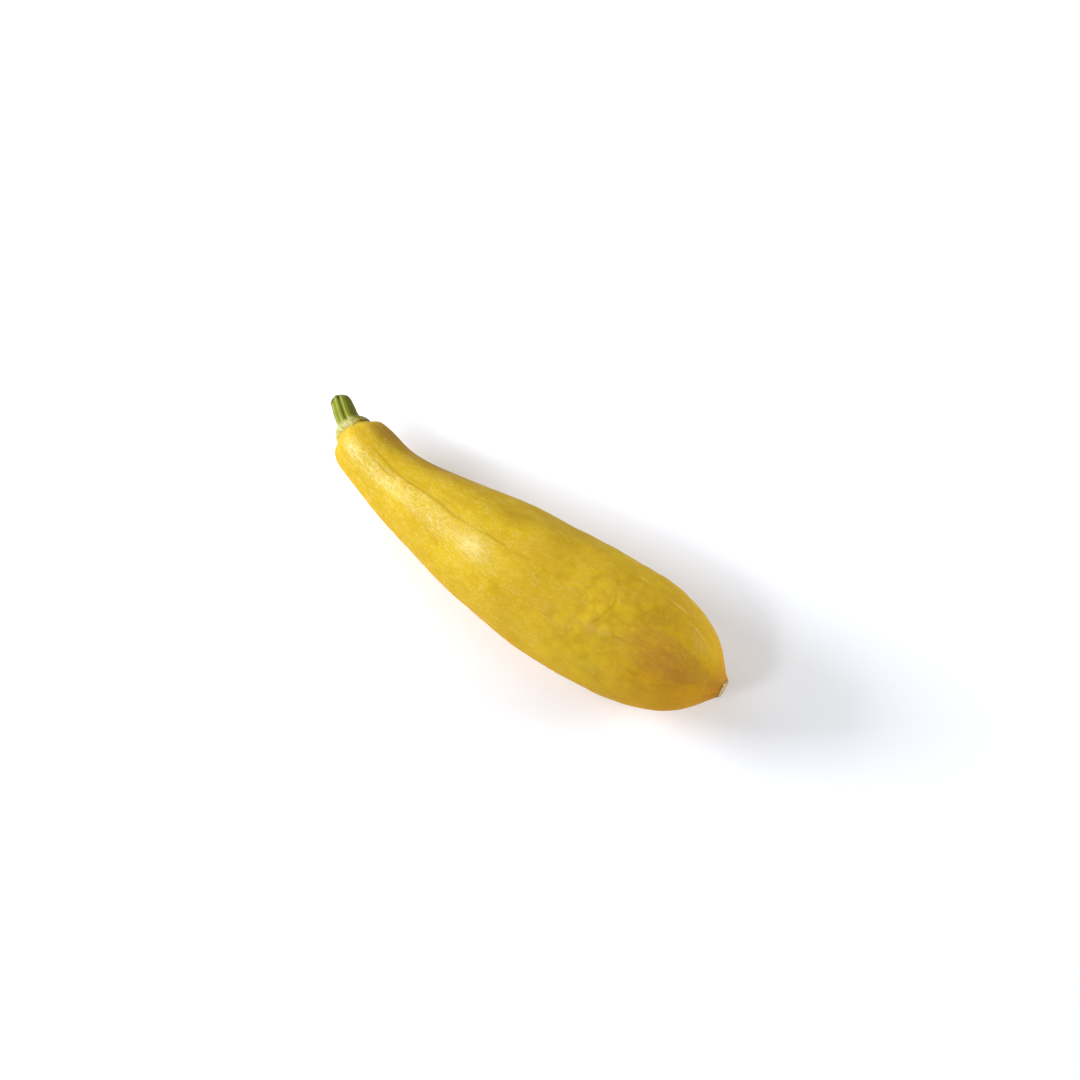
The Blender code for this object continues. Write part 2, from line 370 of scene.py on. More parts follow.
GLEAM_CREAM = (0.820, 0.680, 0.230)
SPECK_CREAM = (0.860, 0.765, 0.500)
FLECK_CREAM = (0.800, 0.675, 0.310)
FURROW_SHADE_GOLD = (0.430, 0.275, 0.010)
FURROW_SHADE_ORANGE = (0.420, 0.190, 0.016)
FRECKLE_BROWN = (0.13, 0.07, 0.02)
SEAT_HALO = (0.50, 0.36, 0.03)
SCAR_RIM = (0.115, 0.075, 0.02)
CORK_DARK = (0.36, 0.24, 0.09)
CORK_PALE = (0.72, 0.56, 0.29)

# Colours of the stem and its collar, in linear light.
RIB_GREEN = (0.205, 0.222, 0.014)
GROOVE_SHADE_GREEN = (0.098, 0.118, 0.011)
PATCH_GREEN = (0.175, 0.210, 0.016)
CREST_HIGHLIGHT_GREEN = (0.46, 0.46, 0.12)
SHADE_GREEN = (0.115, 0.105, 0.008)
COLLAR_CREAM = (0.54, 0.50, 0.22)
COLLAR_GREEN = (0.34, 0.33, 0.07)
COLLAR_SHADE_OLIVE = (0.340, 0.270, 0.026)
COLLAR_SHADE_DARK = (0.225, 0.165, 0.014)
HEM_GOLD = (0.42, 0.29, 0.02)
HEM_SHADE = (0.115, 0.070, 0.010)
CHARRED = (0.050, 0.036, 0.012)
PITH_DARK = (0.40, 0.28, 0.11)
PITH_PALE = (0.58, 0.48, 0.24)

# Finest relief, which the skins add: strength and height.
FRUIT_BUMP = (0.7, 0.22 * MM)
STEM_BUMP = (0.6, 0.18 * MM)

# How far apart noises are taken: from one seed to the next, and the flecks from the dashes.
SEED_STEPS = (17.3, 5.1, 9.7)
FLECK_OFFSET = (7.0, 3.0, 5.0)

# Cobbles and freckles to a millimetre.
COBBLE_CELLS = 0.19
FRECKLE_CELLS = 0.13

# Sockets of Blender's Mix node that belong to colours.
MIX_SHARE = 0
MIX_FIRST = 6
MIX_SECOND = 7
MIX_RESULT = 2

# The surface that the squash lies on.
SURFACE_SIZE = 12.0
SURFACE_LOOK = {
    "Base Color": (0.94, 0.955, 0.985),
    "Roughness": 0.7,
    "Specular IOR Level": 0.2,
}

# Camera: its direction and distance from the point that it looks at, and its lens.
CAMERA_AZIMUTH = math.radians(37.65)
CAMERA_ELEVATION = math.radians(69.0)
CAMERA_DISTANCE = 1.09
CAMERA_TARGET = Vector((0.0043, 0.0149, 0.0220))
CAMERA_LENS = 85.0

# Lights: the way to each in the picture (right, away, up), distance, size, power and colour.
LIGHTS = {
    "key": ((-0.90, 0.15, 0.47), 1.0, 0.45, 11.0, (0.97, 0.99, 1.06)),
    "glow": ((-0.46, -0.45, 0.765), 1.2, 0.20, 2.8, (1.0, 1.0, 1.0)),
    "fill": ((0.90, 0.05, 0.42), 1.3, 0.6, 10.3, (0.99, 1.0, 1.02)),
    "back": ((-0.5, 0.65, 0.62), 1.3, 0.6, 2.6, (1.0, 1.0, 1.0)),
}
STUDIO_COLOUR = (0.96, 0.98, 1.02, 1.0)
STUDIO_STRENGTH = 0.30


def smooth_curve(points, shares):
    """Points at the given shares of the natural cubic spline through the given points."""
    points = np.array(points, dtype=float)
    run = np.concatenate([[0.0], np.cumsum(np.linalg.norm(np.diff(points, axis=0), axis=1))])
    step = np.diff(run)
    size = len(points)
    matrix = np.eye(size)
    target = np.zeros(points.shape)
    for i in range(1, size - 1):
        matrix[i, i - 1] = step[i - 1]
        matrix[i, i] = 2.0 * (step[i - 1] + step[i])
        matrix[i, i + 1] = step[i]
        after = (points[i + 1] - points[i]) / step[i]
        before = (points[i] - points[i - 1]) / step[i - 1]
        target[i] = 6.0 * (after - before)
    bend = np.linalg.solve(matrix, target)
    at = shares * run[-1]
    k = np.clip(np.searchsorted(run, at) - 1, 0, size - 2)
    b = ((at - run[k]) / step[k])[:, None]
    a = 1.0 - b
    arc = (step[k] ** 2)[:, None] / 6.0
    return a * points[k] + b * points[k + 1] + arc * ((a**3 - a) * bend[k] + (b**3 - b) * bend[k + 1])


def smooth_step(low, high, value):
    """0 below low, 1 above high, with a smooth rise between."""
    t = np.clip((value - low) / (high - low), 0.0, 1.0)
    return t * t * (3.0 - 2.0 * t)


def over_span(span, value):
    """Rises from 0 to 1 over the span's first pair of places, and falls back over its second."""
    return smooth_step(span[0], span[1], value) * (1.0 - smooth_step(span[2], span[3], value))


def turn_from(angle, place):
    """How far around the angle lies from the given one, between minus and plus half a turn."""
    return (angle - place + math.pi) % (2.0 * math.pi) - math.pi


def bell(angle, degrees, width):
    """1 at the given angle, falling off smoothly over a width to both sides, in degrees."""
    return np.exp(-((turn_from(angle, math.radians(degrees)) / math.radians(width)) ** 2))


def together(*shares):
    """How much is covered where each share covers its part of what the others leave."""
    left = 1.0
    for share in shares:
        left = left * (1.0 - share)
    return 1.0 - left


def grain(points, cells):
    """Smooth noise at an array of points. Its cells have a length and width in mm, and a seed."""
    length, width, seed = cells
    shift = Vector([seed * step for step in SEED_STEPS])
    flat = (points / (np.array((length, width, width)) * MM)).reshape(-1, 3)
    values = [noise.noise(Vector(point) + shift) for point in flat]
    return np.array(values).reshape(points.shape[:-1])


def varied(points, strength, cells):
    """A strength that varies over the skin, given by its middle, swing, least and most."""
    middle, swing, least, most = strength
    return np.clip(middle + swing * grain(points, cells), least, most)


def angle_along(path, along):
    """The angle, at distances along, of a path of pairs of millimetres and degrees."""
    places, angles = np.array(path, dtype=float).T
    return np.radians(np.interp(along / MM, places, angles))


def centre_line(yaw, climb, length, at):
    """Frames (place, forward, side, up) at the distances at, for a line that starts at the origin.

    yaw and climb give the line's heading and slope as functions of the distance along it.
    """
    run = np.linspace(0.0, length, LINE_STEPS)
    level = np.cos(climb(run))
    forward = np.stack([np.cos(yaw(run)) * level, np.sin(yaw(run)) * level, np.sin(climb(run))], axis=1)
    legs = (forward[1:] + forward[:-1]) * 0.5 * np.diff(run)[:, None]
    place = np.concatenate([np.zeros((1, 3)), np.cumsum(legs, axis=0)])
    place = np.stack([np.interp(at, run, place[:, i]) for i in range(3)], axis=1)
    forward = np.stack([np.interp(at, run, forward[:, i]) for i in range(3)], axis=1)
    forward /= np.linalg.norm(forward, axis=1)[:, None]
    side = np.cross([0.0, 0.0, 1.0], forward)
    side /= np.linalg.norm(side, axis=1)[:, None]
    up = np.cross(forward, side)
    return place, forward, side, up


def sweep(frames, angle, reach, slide):
    """Rings of points around a centre line, at the given reach from it and slid along it."""
    place, forward, side, up = [axis[:, None, :] for axis in frames]
    around = np.cos(angle)[:, :, None] * side + np.sin(angle)[:, :, None] * up
    return place + reach[:, :, None] * around + slide[:, :, None] * forward


def unbent(along, angle, radius):
    """Rings of points around a straight centre line along X."""
    return np.stack(np.broadcast_arrays(along, radius * np.cos(angle), radius * np.sin(angle)), axis=2)


def dished_face(rim, count, depth, power):
    """The outline of an end face, from inside its rim to near its centre, sunk by a depth."""
    inward = 1.0 - (np.arange(count) + 1.0) / (count + 1.0)
    return np.stack([rim[0] - depth * (1.0 - inward**power), rim[1] * inward], axis=1)


def fruit_yaw(along):
    return BELLY_YAW - NECK_CURL * np.exp(-along / CURL_FADE)


def fruit_climb(along):
    return BELLY_LEAN * (1.0 - np.exp(-along / CURL_FADE))


def fruit_frames(along):
    """The fruit's centre line, with the slight sideways wander that it grew with."""
    place, forward, side, up = centre_line(fruit_yaw, fruit_climb, FRUIT_LENGTH, along)
    sway = WANDER * np.sin(2.0 * math.pi * along / WANDER_LENGTH + WANDER_PHASE)
    sway = sway * over_span(WANDER_SPAN, along)
    return place + sway[:, None] * side, forward, side, up


def lumps(along, angle):
    """Broad, low unevenness of the skin, as a sum of slow waves."""
    draw = np.random.default_rng(LUMP_SEED)
    height = np.zeros(np.broadcast(along, angle).shape)
    for _ in range(LUMP_COUNT):
        wave_length = draw.uniform(*LUMP_LENGTHS)
        around = draw.integers(*LUMP_WAVES)
        phase = draw.uniform(0.0, 2.0 * math.pi)
        lean = draw.choice([-1.0, 1.0])
        height = height + np.sin(2.0 * math.pi * along / wave_length + lean * around * angle + phase)
    return LUMP_HEIGHT * height


def furrows(along, angle, radius, straight):
    """Shallow lengthwise creases that waver a little, deepest in the middle of their paths."""
    sway = FURROW_SWAY * grain(straight, FURROW_SWAY_CELLS)
    strength = varied(straight, FURROW_STRENGTH, FURROW_STRENGTH_CELLS)
    height = np.zeros(np.broadcast(along, angle).shape)
    for path, depth, width in FURROWS:
        start, end = path[0][0], path[-1][0]
        share = np.clip((along / MM - start) / (end - start), 0.0, 1.0)
        across = (turn_from(angle, angle_along(path, along)) * radius + sway) / (width * MM)
        reach = np.sin(math.pi * share) ** FURROW_TAPER * strength
        height = height - depth * MM * np.exp(-(across**2)) * reach
    return height


def dent(along, angle, straight):
    """A short curved dent across the belly, with a low ridge on its stem side."""
    off = turn_from(angle, DENT_ANGLE)
    middle = DENT_PLACE - DENT_BOW * (off / DENT_REACH) ** 2 + DENT_SWAY * grain(straight, DENT_SWAY_CELLS)
    near = np.exp(-((off / DENT_REACH) ** 4)) * varied(straight, DENT_STRENGTH, DENT_STRENGTH_CELLS)
    hollow = np.exp(-(((along - middle) / DENT_WIDTH) ** 2))
    ridge = np.exp(-(((along - middle + DENT_RIDGE_AWAY) / DENT_RIDGE_WIDTH) ** 2))
    return DENT_DEPTH * near * (DENT_RIDGE_SHARE * ridge - hollow)


def fruit_relief(along, angle, radius, straight):
    """How far the skin stands out from its round section, and how hollow it is there, for the painted
    shade in its hollows.
    """
    ribs = np.cos(RIB_COUNT * (angle - RIB_ANGLE)) * over_span(RIB_SPAN, along)
    fold = np.abs(np.cos(0.5 * FOLD_COUNT * (angle - FOLD_ANGLE))) - 1.0
    fold = fold * over_span(FOLD_SPAN, along)
    upper = 0.5 + 0.5 * np.sin(angle)
    creases = furrows(along, angle, radius, straight)
    across = dent(along, angle, straight)
    rough = over_span(ROUGH_SPAN, along) * upper
    uneven = upper * lumps(along, angle)
    for height, added, cells in SKIN_GRAINS:
        uneven = uneven + (height + added * rough) * grain(straight, cells)
    relief = RIB_HEIGHT * ribs + FOLD_DEPTH * fold + creases + across
    relief = relief + over_span(LUMP_SPAN, along) * uneven
    hollow = -(creases + DENT_TONE * across) / FULL_HOLLOW - FOLD_TONE * fold
    return relief, hollow


def spots(places, along, angle):
    """Soft spots, each given by its place along, its angle, and its reach in both directions."""
    total = np.zeros(np.broadcast(along, angle).shape)
    for at_along, at_angle, length, width in places:
        off_turn = turn_from(angle, math.radians(at_angle)) / math.radians(width)
        total = total + np.exp(-(((along / MM - at_along) / length) ** 2) - off_turn**2)
    return total


def fruit_painted_shade(along, angle, turn, upper):
    """Painted brown shade on the side where the turn is negative, and in the painted dusky spots."""
    near_fold = np.exp(-(((along - FOLD_SHADE_PLACE) / FOLD_SHADE_LENGTH) ** 2))
    fold = near_fold * smooth_step(*FOLD_SHADE_TURN, -turn)
    neck = over_span(NECK_SHADE_SPAN, along) * smooth_step(*NECK_SHADE_TURN, -turn)
    side = over_span(SIDE_SHADE_SPAN, along) * smooth_step(*SIDE_SHADE_TURN, -turn)
    collar_shade = DUSK_SHADE * spots(DUSKS, along, angle)
    return together(FOLD_SHADE * fold * upper, NECK_SHADE * neck * upper, SIDE_SHADE * side * upper, collar_shade)


def fruit_wedge(along, angle):
    """The olive wedge at the bulb's end, sharp along one edge."""
    beyond = turn_from(angle, angle_along(WEDGE_EDGE, along))
    wedge = smooth_step(*WEDGE_RISE, beyond) * (1.0 - smooth_step(*WEDGE_FADE, beyond))
    return wedge * over_span(WEDGE_SPAN, along)


def fruit_sheen_band(along, turn):
    """The band along the neck where a sheen is painted into the colour and the coat is a little glossier.
    """
    places, turns, widths = np.array(SHEEN_PATH, dtype=float).T
    off = turn - np.radians(np.interp(along / MM, places, turns))
    width = np.radians(np.interp(along / MM, places, widths))
    return np.exp(-((off / width) ** 4)) * over_span(SHEEN_SPAN, along)


def fruit_tones(along, angle):
    """Shares of the skin's warmer, darker and paler colours, with painted shade, painted sheen and painted
    highlight spots among them.
    """
    turn = turn_from(angle, TOP_LINE)
    under = smooth_step(*UNDER_TURN, np.abs(turn))
    end = smooth_step(*END_SPAN, along) * (END_WARMTH + END_SIDE_WARMTH * smooth_step(*END_TURN, turn))
    russet_along = (along - RUSSET_PLACE[0]) / RUSSET_REACH[0]
    russet_turn = (turn - RUSSET_PLACE[1]) / RUSSET_REACH[1]
    tones = {
        "warm": together(UNDER_WARMTH * under, end),
        "painted_shade": fruit_painted_shade(along, angle, turn, 1.0 - under),
        "wedge": fruit_wedge(along, angle),
        "russet": np.exp(-(russet_along**2) - russet_turn**2),
        "sheen_band": fruit_sheen_band(along, turn),
        "gleam": spots(GLEAMS, along, angle),
        "top": np.exp(-(((turn - TOP_TURN) / TOP_WIDTH) ** 2)),
    }
    return {name: tone * np.ones_like(along * angle) for name, tone in tones.items()}


def fruit_surface():
    """Rings of points from the seat to the scar, the same unbent, their fields and both poles."""
    shares = [np.linspace(low, high, count, endpoint=False) for low, high, count in FRUIT_RINGS]
    skin = smooth_curve(FRUIT_OUTLINE_MM, np.append(np.concatenate(shares), 1.0)) * MM
    scar = dished_face(skin[-1], SCAR_RINGS, SCAR_DISH, SCAR_DISH_POWER)
    outline = np.concatenate([skin, scar])
    along, radius = outline[:, :1], outline[:, 1:]
    angle = np.linspace(0.0, 2.0 * math.pi, FRUIT_SIDES, endpoint=False)[None, :]
    angle = angle - TOP_CROWDING * np.sin(angle - FRUIT_TOP)
    straight = unbent(along, angle, radius)
    relief, hollow = fruit_relief(along, angle, radius, straight)
    relief[len(skin):] = 0.0
    wave = SCAR_WAVE_SHARE * np.cos(SCAR_WAVES * (angle - SCAR_WAVE_ANGLE))
    wave = wave + SCAR_UNEVEN_SHARE * grain(straight, SCAR_UNEVEN_CELLS)
    wobble = 1.0 + smooth_step(FRUIT_LENGTH - SCAR_RIM_REACH, FRUIT_LENGTH, along) * wave
    cork = np.zeros(relief.shape)
    cork[len(skin) - 1:] = 1.0
    bumps = cork * CORK_HEIGHT * grain(straight, CORK_CELLS)
    rings = sweep(fruit_frames(along[:, 0]), angle, (radius + relief) * wobble, bumps)
    fields = fruit_tones(along, angle)
    fields["hollow"] = hollow
    fields["cork"] = cork
    poles, _, _, _ = fruit_frames(np.array([0.0, FRUIT_LENGTH - SCAR_DISH]))
    return rings, straight, fields, poles


def stem_frames(along):
    """The stem's centre line, which leaves the fruit's seat and turns a little aside."""
    seat, forward, _, _ = fruit_frames(np.zeros(1))
    start = seat - SEAT_GAP * forward
    heading = math.atan2(-forward[0][1], -forward[0][0])
    slope = -math.asin(forward[0][2])

    def yaw(run):
        return heading + STEM_TURN * (1.0 - np.exp(-run / STEM_TURN_REACH))

    def climb(run):
        return np.full(run.shape, slope)

    reached = np.maximum(along, 0.0)
    place, forward, side, up = centre_line(yaw, climb, STEM_LENGTH, reached)
    return start + place + (along - reached)[:, None] * forward, forward, side, up


def stem_section(along, angle):
    """Share of the round radius that the ribbed stem keeps, its grooves, and its crest lines."""
    turned = angle - STEM_TWIST * (along / STEM_LENGTH - 0.5)
    hollow = sum(depth * bell(turned, degrees, width) for degrees, depth, width in STEM_GROOVES)
    crest = sum(bell(turned, degrees, STEM_CREST_WIDTH) for degrees in STEM_CRESTS)
    collar = 1.0 - smooth_step(*COLLAR_HIDES_UP_TO, along)
    share = 1.0 - (hollow - STEM_CREST_SHARE * crest) * (1.0 - COLLAR_HIDES * collar)
    return share, hollow / FULL_GROOVE, crest


def stem_relief(along, angle, straight):
    """How far the stem's grain and the collar's lobes stand out, and how low the lobes hang."""
    collar = 1.0 - smooth_step(*COLLAR_ROUGH_UP_TO, along)
    lobe = np.cos(COLLAR_LOBES * (angle - COLLAR_LOBE_ANGLE))
    lobe = lobe + COLLAR_LOBE_UNEVEN * grain(straight, COLLAR_LOBE_CELLS)
    fibres, knots, warts = [height * grain(straight, cells) for height, cells in (FIBRES, KNOTS, WARTS)]
    drape = COLLAR_DRAPE * bell(angle, *COLLAR_DRAPE_TURN)
    drape = drape * (1.0 - smooth_step(0.0, COLLAR_DRAPE_REACH, along))
    hem = COLLAR_HEM * lobe * (1.0 - smooth_step(0.0, COLLAR_HEM_REACH, along))
    return fibres + knots + collar * (warts + COLLAR_LOBE * lobe) + drape, hem


def stem_cut(along, angle, straight):
    """How far the cut edge is slanted and frayed along the stem, and how deep it is worn round."""
    frayed = CUT_SLANT * np.cos(angle - CUT_SLANT_ANGLE) - CUT_BACK
    frayed = frayed + CUT_FRAY * grain(straight, CUT_FRAY_CELLS)
    frayed = frayed * smooth_step(STEM_LENGTH - CUT_REACH, STEM_LENGTH, along)
    worn = smooth_step(STEM_LENGTH - WORN_REACH, STEM_LENGTH, along) * bell(angle, *WORN_TURN)
    return frayed - WORN_BACK * worn, WORN_DEPTH * worn


def stem_surface():
    """Rings of points from the collar's foot to the cut, the same unbent, their fields and both poles."""
    foot = smooth_curve(COLLAR_FOOT_MM, np.linspace(0.0, 1.0, FOOT_RINGS, endpoint=False))
    shaft = smooth_curve(STEM_OUTLINE_MM, np.linspace(0.0, 1.0, STEM_RINGS - FOOT_RINGS))
    side = np.concatenate([foot, shaft]) * MM
    outline = np.concatenate([side, dished_face(side[-1], CUT_RINGS, CUT_DISH, CUT_DISH_POWER)])
    along, radius = outline[:, :1], outline[:, 1:]
    angle = np.linspace(0.0, 2.0 * math.pi, STEM_SIDES, endpoint=False)[None, :]
    straight = unbent(along, angle, radius)
    section, groove, crest = stem_section(along, angle)
    relief, hem = stem_relief(along, angle, straight)
    frayed, worn = stem_cut(along, angle, straight)
    dip = COLLAR_DIP * (0.5 + 0.5 * np.cos(angle - COLLAR_DIP_ANGLE)) ** COLLAR_DIP_POWER
    dip = dip * over_span(COLLAR_DIP_SPAN, along)
    on_side = np.ones(section.shape)
    on_side[STEM_RINGS:] = 0.0
    radius = np.where(on_side > 0.5, np.interp(along + dip, side[:, 0], side[:, 1]), radius)
    reach = radius * section + on_side * (relief - worn)
    rings = sweep(stem_frames(along[:, 0]), angle, reach, frayed - hem)
    # Shade is painted on the side of the stem towards this angle.
    towards_shade = np.cos(angle - STEM_SHADE_SIDE)
    fields = {
        "groove": groove,
        "crest": crest,
        "cut": 1.0 - on_side,
        "stem_shade": smooth_step(*STEM_SHADE_RISE, towards_shade),
        "collar_shade": smooth_step(*COLLAR_SHADE_RISE, towards_shade),
        "char": sum(strength * bell(angle, degrees, width) for strength, degrees, width in STEM_CHARS),
    }
    fields = {name: values * np.ones(section.shape) for name, values in fields.items()}
    poles = [stem_frames(along[:1, 0])[0][0], rings[-1].mean(axis=0)]
    return rings, straight, fields, poles


def skin_mesh(name, rings, poles):
    """A closed mesh over rings of points, closed to a pole at both ends."""
    count, sides, _ = rings.shape
    points = np.concatenate([rings.reshape(-1, 3), poles])
    first = count * sides
    last = first + 1
    start = np.arange(sides)
    follow = (start + 1) % sides
    rows = np.arange(count - 1)[:, None] * sides
    quads = np.stack([rows + start, rows + follow, rows + sides + follow, rows + sides + start], axis=2)
    fan_start = [(first, int(j), int(i)) for i, j in zip(start, follow)]
    end = (count - 1) * sides
    fan_end = [(last, int(end + i), int(end + j)) for i, j in zip(start, follow)]
    mesh = bpy.data.meshes.new(name)
    mesh.from_pydata(points.tolist(), [], quads.reshape(-1, 4).tolist() + fan_start + fan_end)
    mesh.validate()
    mesh.shade_smooth()
    return mesh


def point_values(mesh, name, values, kind):
    """Stores one value for each point of the mesh, for its material to read."""
    field = "vector" if kind == "FLOAT_VECTOR" else "value"
    attribute = mesh.attributes.new(name, kind, "POINT")
    attribute.data.foreach_set(field, np.ascontiguousarray(values, dtype=np.float32).ravel())


def carry_fields(mesh, straight, length, fields):
    """Stores the unbent points, in millimetres, and the fields on a mesh of rings and two poles."""
    poles = [[0.0, 0.0, 0.0], [length, 0.0, 0.0]]
    point_values(mesh, "straight", np.concatenate([straight.reshape(-1, 3), poles]) / MM, "FLOAT_VECTOR")
    for name, values in fields.items():
        with_poles = np.concatenate([values.ravel(), values[0, :1], values[-1, :1]])
        point_values(mesh, name, with_poles, "FLOAT")


def add_piece(name, mesh):
    piece = bpy.data.objects.new(name, mesh)
    bpy.context.scene.collection.objects.link(piece)
    return piece


class Value:
    """A number, place or colour in a material: wraps a socket, so that numbers read as maths."""

    def __init__(self, skin, socket):
        self.skin = skin
        self.socket = socket

    def compute(self, operation, first, second):
        return self.skin.node("ShaderNodeMath", {"operation": operation}, {0: first, 1: second})

    def __add__(self, other):
        return self.compute("ADD", self, other)

    def __radd__(self, other):
        return self.compute("ADD", other, self)

    def __sub__(self, other):
        return self.compute("SUBTRACT", self, other)

    def __rsub__(self, other):
        return self.compute("SUBTRACT", other, self)

    def __mul__(self, other):
        return self.compute("MULTIPLY", self, other)

    def __rmul__(self, other):
        return self.compute("MULTIPLY", other, self)

    def rise(self, low, high):
        """0 below low, 1 above high, with a smooth rise between."""
        return self.skin.node(
            "ShaderNodeMapRange",
            {"interpolation_type": "SMOOTHSTEP"},
            {"Value": self, "From Min": low, "From Max": high},
        )

    def fall(self, low, high):
        """1 below low, 0 above high, with a smooth fall between."""
        return 1.0 - self.rise(low, high)

    def swing(self, size):
        """A noise between 0 and 1, turned into a swing of the given size around 0."""
        return (self - 0.5) * size


class Skin:
    """A material that is put together in code around one Principled shader."""

    def __init__(self, name):
        self.material = bpy.data.materials.new(name)
        self.material.use_nodes = True
        self.nodes = self.material.node_tree.nodes
        self.links = self.material.node_tree.links
        self.shader = self.nodes["Principled BSDF"]

    def feed(self, socket, value):
        """Links a value to a socket, or sets it. Colours are given without their alpha."""
        if isinstance(value, Value):
            self.links.new(value.socket, socket)
        elif socket.type == "RGBA":
            socket.default_value = (*value, 1.0)
        else:
            socket.default_value = value

    def node(self, kind, settings, inputs, output=0):
        """Any node: its settings are set first, then its sockets are linked or set."""
        made = self.nodes.new(kind)
        for name, value in settings.items():
            setattr(made, name, value)
        for name, value in inputs.items():
            self.feed(made.inputs[name], value)
        return Value(self, made.outputs[output])

    def field(self, name):
        """A number that the mesh carries."""
        return self.node("ShaderNodeAttribute", {"attribute_name": name}, {}, "Fac")

    def unbent_place(self):
        """The place on the unbent piece, in millimetres, with the distance along it first."""
        return self.node("ShaderNodeAttribute", {"attribute_name": "straight"}, {}, "Vector")

    def distance_along(self, place):
        return self.node("ShaderNodeSeparateXYZ", {}, {0: place})

    def vector(self, operation, first, second):
        return self.node("ShaderNodeVectorMath", {"operation": operation}, {0: first, 1: second})

    def noise(self, place, along, across, detail=2.0, roughness=0.5, distortion=0.0, offset=None):
        """Noise between 0 and 1, with about as many cells to a millimetre as along and across say."""
        place = self.vector("MULTIPLY", place, (along, across, across))
        if offset:
            place = self.vector("ADD", place, offset)
        inputs = {
            "Vector": place,
            "Scale": 1.0,
            "Detail": detail,
            "Roughness": roughness,
            "Distortion": distortion,
        }
        return self.node("ShaderNodeTexNoise", {"noise_dimensions": "3D"}, inputs)

    def cells(self, place, scale, output):
        inputs = {"Vector": place, "Scale": scale}
        return self.node("ShaderNodeTexVoronoi", {"feature": "F1"}, inputs, output)

    def mix(self, share, first, second):
        """From the first colour to the second, by the share."""
        inputs = {MIX_SHARE: share, MIX_FIRST: first, MIX_SECOND: second}
        return self.node("ShaderNodeMix", {"data_type": "RGBA"}, inputs, MIX_RESULT)

    def paint(self, colour, *coats):
        """The colour under coats, each given by its share and its own colour."""
        for share, coat in coats:
            colour = self.mix(share, colour, coat)
        return colour

    def bump(self, height, strength, distance):
        inputs = {"Height": height, "Strength": strength, "Distance": distance}
        return self.node("ShaderNodeBump", {}, inputs)

    def finish(self, inputs):
        """Feeds the shader's sockets and returns the material."""
        for name, value in inputs.items():
            self.feed(self.shader.inputs[name], value)
        return self.material


class FruitPatterns:
    """The noises and marks that the fruit's colours and fine relief are made from."""

    def __init__(self, skin):
        place = skin.unbent_place()
        self.place = place
        self.along = skin.distance_along(place)
        self.warm = skin.field("warm")
        self.painted_shade = skin.field("painted_shade")
        self.sheen_band = skin.field("sheen_band")
        self.cork = skin.field("cork")
        self.broad = skin.noise(place, 0.030, 0.07)
        self.streak = skin.noise(place, 0.035, 0.30)
        self.thread = skin.noise(place, 0.05, 1.1)
        self.blotch = skin.noise(place, 0.14, 0.20, 3.0, 0.55)
        self.cloud = skin.noise(place, 0.42, 0.55, 2.0, 0.55)
        self.smear = skin.noise(place, 0.20, 0.85, 3.0, 0.6)
        self.pores = skin.noise(place, 1.8, 1.8, 3.0, 0.6)
        self.fine = skin.noise(place, 0.5, 2.6)
        self.grit = skin.noise(place, 0.9, 1.4)
        self.cork_grain = skin.noise(place, 1.6, 1.6, 3.0, 0.6)
        dash = skin.noise(place, 0.28, 1.6, 2.5, 0.55)
        self.dash = (dash + self.sheen_band * 0.015).rise(0.545, 0.68)
        fleck = skin.noise(place, 0.60, 2.6, 2.0, 0.55, offset=FLECK_OFFSET)
        self.fleck = (fleck + self.sheen_band * 0.02).rise(0.565, 0.66)
        self.speck = skin.noise(place, 1.3, 2.4, 1.0).rise(0.58, 0.68)
        self.patchy = self.blotch.fall(0.36, 0.64)
        shaken = skin.vector("ADD", place, self.cloud.swing(2.6))
        self.cobble = skin.cells(shaken, COBBLE_CELLS, "Distance")
        belly = self.along.rise(*COBBLES_RISE) * self.along.fall(*COBBLES_FADE)
        self.cobbled = belly * (0.25 + 0.75 * skin.field("top")) * self.blotch.rise(0.34, 0.60)


def fruit_ground(skin, seen):
    """The fruit's yellow, with its broad tones and streaks, and cobbles with painted shade in their gaps
    and painted light on their tops.
    """
    shoulder = seen.along.fall(*SHOULDER_FADES)
    return skin.paint(
        GOLD,
        (seen.broad.rise(0.35, 0.65) * 0.5 + seen.along.rise(*BELLY_DEEPENS) * 0.4, DEEP_GOLD),
        (seen.streak.rise(0.50, 0.72) * 0.5, GREEN_GOLD),
        (seen.thread.rise(0.45, 0.70) * 0.25, DEEP_GOLD),
        (seen.thread.fall(0.36, 0.50) * shoulder * 0.45, SHOULDER_DEEP),
        (seen.thread.rise(0.52, 0.66) * shoulder * 0.12, SHOULDER_LIGHT),
        (seen.blotch.rise(0.46, 0.66) * 0.4, DEEP_GOLD),
        (seen.cloud.rise(0.50, 0.72) * 0.35, LIGHT_GOLD),
        # Painted shade in the gaps between the cobbles and painted light on their tops.
        (seen.cobble.rise(0.45, 0.95) * seen.cobbled * 0.55, COBBLE_GAP_SHADE),
        (seen.cobble.fall(0.20, 0.72) * seen.cobbled * 0.70, COBBLE_TOP_LIGHT),
    )


